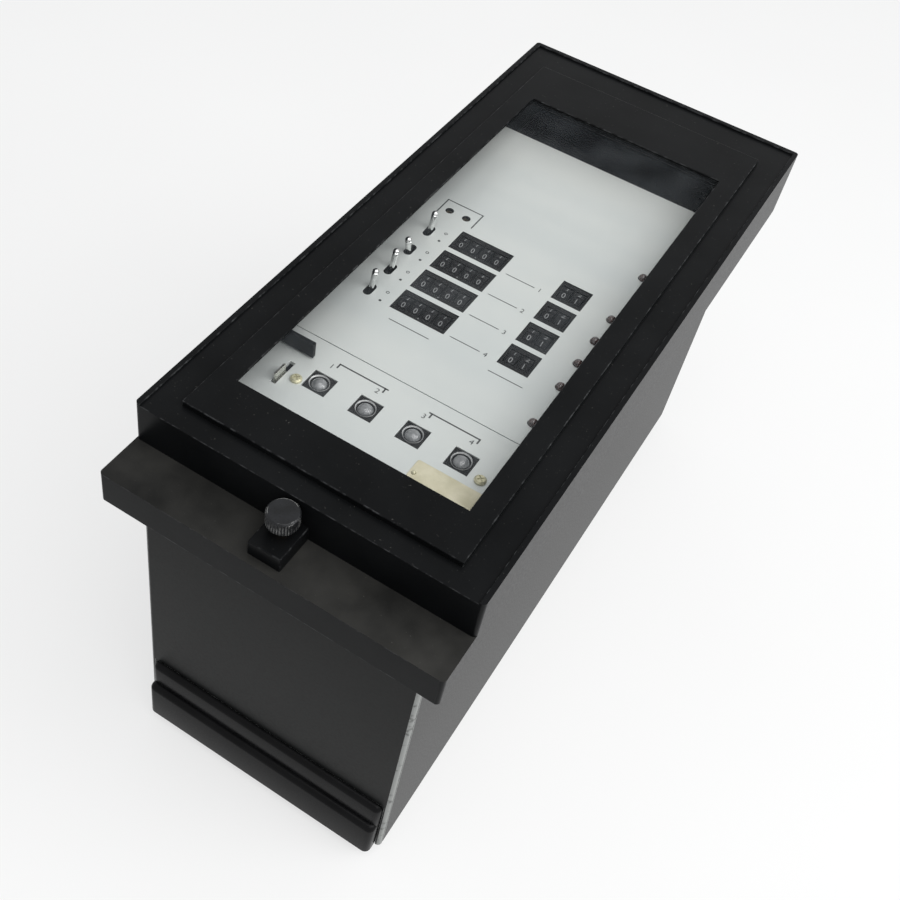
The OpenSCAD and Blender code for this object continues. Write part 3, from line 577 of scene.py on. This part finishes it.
# %% Tag and rivet
tag = bmesh.new()
TAG_W, TAG_H, TAG_T = 33, 11, 0.3
size = Matrix.Diagonal((TAG_W * MM, TAG_H * MM, TAG_T * MM, 1))
place = Matrix.Translation(Vector((37.2, -118, FACE + TAG_T / 2)) * MM)
bmesh.ops.create_cube(tag, size=1, matrix=place @ size)
uprights = [e for e in tag.edges if abs(e.verts[0].co.z - e.verts[1].co.z) > 0.1 * MM]
bmesh.ops.bevel(tag, geom=uprights, offset=1.2 * MM, affect="EDGES", segments=5, profile=0.5, material=-1)
wear_and_sheen = tag.faces.layers.float.new("wear_and_sheen")
brim = [e for e in tag.edges if e.calc_face_angle() > radians(60)]
for face in bmesh.ops.bevel(tag, geom=brim, offset=0.08 * MM, affect="EDGES", segments=2, profile=0.5,
                            material=-1)["faces"]:
    face[wear_and_sheen] = 1.0
foil_tag = piece_from(tag, "foil_tag", "tag_foil", "case")
rivet = bmesh.new()
centre = Vector((22.9, -120.2, FACE + 0.1)) * MM
bmesh.ops.create_uvsphere(rivet, u_segments=20, v_segments=12, radius=1.2 * MM,
                          matrix=Matrix.Translation(centre))
cut = bmesh.ops.bisect_plane(rivet, geom=rivet.verts[:] + rivet.edges[:] + rivet.faces[:], dist=1e-7,
                             plane_co=centre + Vector((0, 0, 0.2 * MM)), plane_no=(0, 0, 1),
                             clear_inner=True)
rim = [e for e in cut["geom_cut"] if isinstance(e, bmesh.types.BMEdge)]
bmesh.ops.holes_fill(rivet, edges=rim, sides=0)
tag_rivet = piece_from(rivet, "tag_rivet", "screw_steel", "case")
print("tag and rivet", len(foil_tag.data.polygons) + len(tag_rivet.data.polygons), "faces")

# %% [markdown]
# ## Everything else keeps its solid
# The pane, the terminal screws and the pieces inside have the right shape already. Their loose
# triangles are left alone and they only get their finish.

# %% Finish the carried solids
kept = [n for n, solid in nodes.items() if not solid.hide_render]
for node in kept:
    nodes[node].data.materials.clear()
    nodes[node].data.materials.append(finishes[slot_of[node]])
print("carried over:", kept)

# %% [markdown]
# ## Floor and light
# A plain pale floor shows the shadow and fills the sides of the black case with its reflection. Two
# thirds of what the camera and the reflections see of it is plain white, so that it reads as white
# paper and still keeps the shadow, and the surroundings look white to them too. The relay lay near a
# window on its right: a low lamp there draws the bright lines on the edges, and a broad one higher up,
# also from the right, lights the panel.

# %% Floor
PAPER_WHITE = 0.65
floor_mesh = bmesh.new()
bmesh.ops.create_grid(floor_mesh, x_segments=4, y_segments=4, size=6.0)
floor_finish = coated("floor_pale", shade(238, 238, 237), shade(242, 242, 241), blotch=3,
                      rough=(0.7, 0.8), grain=300, bump=0.02)


def seen_rays(tree):
    """One for the rays of the camera, of reflections and of glass, and zero for the rest."""
    rays = add_node(tree, "ShaderNodeLightPath", {}).outputs
    seen = rays["Is Camera Ray"]
    for kind in ("Is Glossy Ray", "Is Transmission Ray"):
        seen = add_node(tree, "ShaderNodeMath", {0: seen, 1: rays[kind]}, operation="MAXIMUM").outputs[0]
    return seen


tree = floor_finish.node_tree
white = add_node(tree, "ShaderNodeEmission", {"Color": (1, 1, 1, 1), "Strength": 1.0}).outputs[0]
paper = tree.nodes["Principled BSDF"].outputs[0]
amount = times(tree, seen_rays(tree), PAPER_WHITE)
blend = add_node(tree, "ShaderNodeMixShader", {0: amount, 1: paper, 2: white})
tree.links.new(blend.outputs[0], tree.nodes["Material Output"].inputs["Surface"])
mesh = bpy.data.meshes.new("floor")
floor_mesh.to_mesh(mesh)
floor_mesh.free()
mesh.materials.append(floor_finish)
floor = bpy.data.objects.new("floor", mesh)
floor.location.z = cad_box[0].z
bpy.context.scene.collection.objects.link(floor)
print("floor at", round(floor.location.z, 4), "m")

# %% World and lamps
world = bpy.data.worlds.new("surroundings")
world.use_nodes = True
world.node_tree.nodes["Background"].inputs["Color"].default_value = (0.96, 0.98, 1.0, 1.0)
world.node_tree.nodes["Background"].inputs["Strength"].default_value = 0.45
tree = world.node_tree
white = add_node(tree, "ShaderNodeBackground", {"Color": (1, 1, 1, 1), "Strength": 1.0}).outputs[0]
sky = tree.nodes["Background"].outputs[0]
blend = add_node(tree, "ShaderNodeMixShader", {0: seen_rays(tree), 1: sky, 2: white})
tree.links.new(blend.outputs[0], tree.nodes["World Output"].inputs["Surface"])
bpy.context.scene.world = world


def lamp(name, place, aim, watts, size):
    """A square lamp at a place, turned to face a point."""
    data = bpy.data.lights.new(name, "AREA")
    data.energy, data.size = watts, size
    light = bpy.data.objects.new(name, data)
    light.location = place
    light.rotation_euler = (Vector(aim) - Vector(place)).to_track_quat("-Z", "Y").to_euler()
    bpy.context.scene.collection.objects.link(light)


lamp("window", (1.25, 0.3, 0.9), (0, 0, 0.2), 8, 0.9)
lamp("above", (0.6, -0.25, 1.6), (0, 0, 0.2), 18, 1.5)
bpy.context.scene.view_settings.view_transform = "Standard"
print("lamps", [light.name for light in bpy.data.lights])

# %% [markdown]
# ## Camera
# The view was solved from the photograph: the corners of the window and the cover give the lens and
# the place. The three axes below are the picture's right, down and forward directions; Blender's
# camera looks along its own -Z with Y up, so the last two change sign. The photograph's optical
# centre lies left of and above the frame's middle, which the lens shift repeats.

# %% Camera
RIGHT, DOWN, FORWARD = (Vector(axis) for axis in (
    (0.84459, 0.5214, 0.12168), (0.45756, -0.58488, -0.66974), (-0.27804, 0.62133, -0.73256)))
lens = bpy.data.cameras.new("camera")
lens.lens, lens.sensor_width = 48.55, 36
lens.shift_x, lens.shift_y = 0.0556, -0.0556
camera = bpy.data.objects.new("camera", lens)
turn = Matrix((RIGHT, -DOWN, -FORWARD)).transposed().to_4x4()
camera.matrix_world = Matrix.Translation((0.1482, -0.4281, 0.60956)) @ turn
bpy.context.scene.collection.objects.link(camera)
bpy.context.scene.camera = camera
print("camera at", [round(c, 3) for c in camera.location])

# %% Free the digit meshes
for bm in flat_digits.values():
    bm.free()
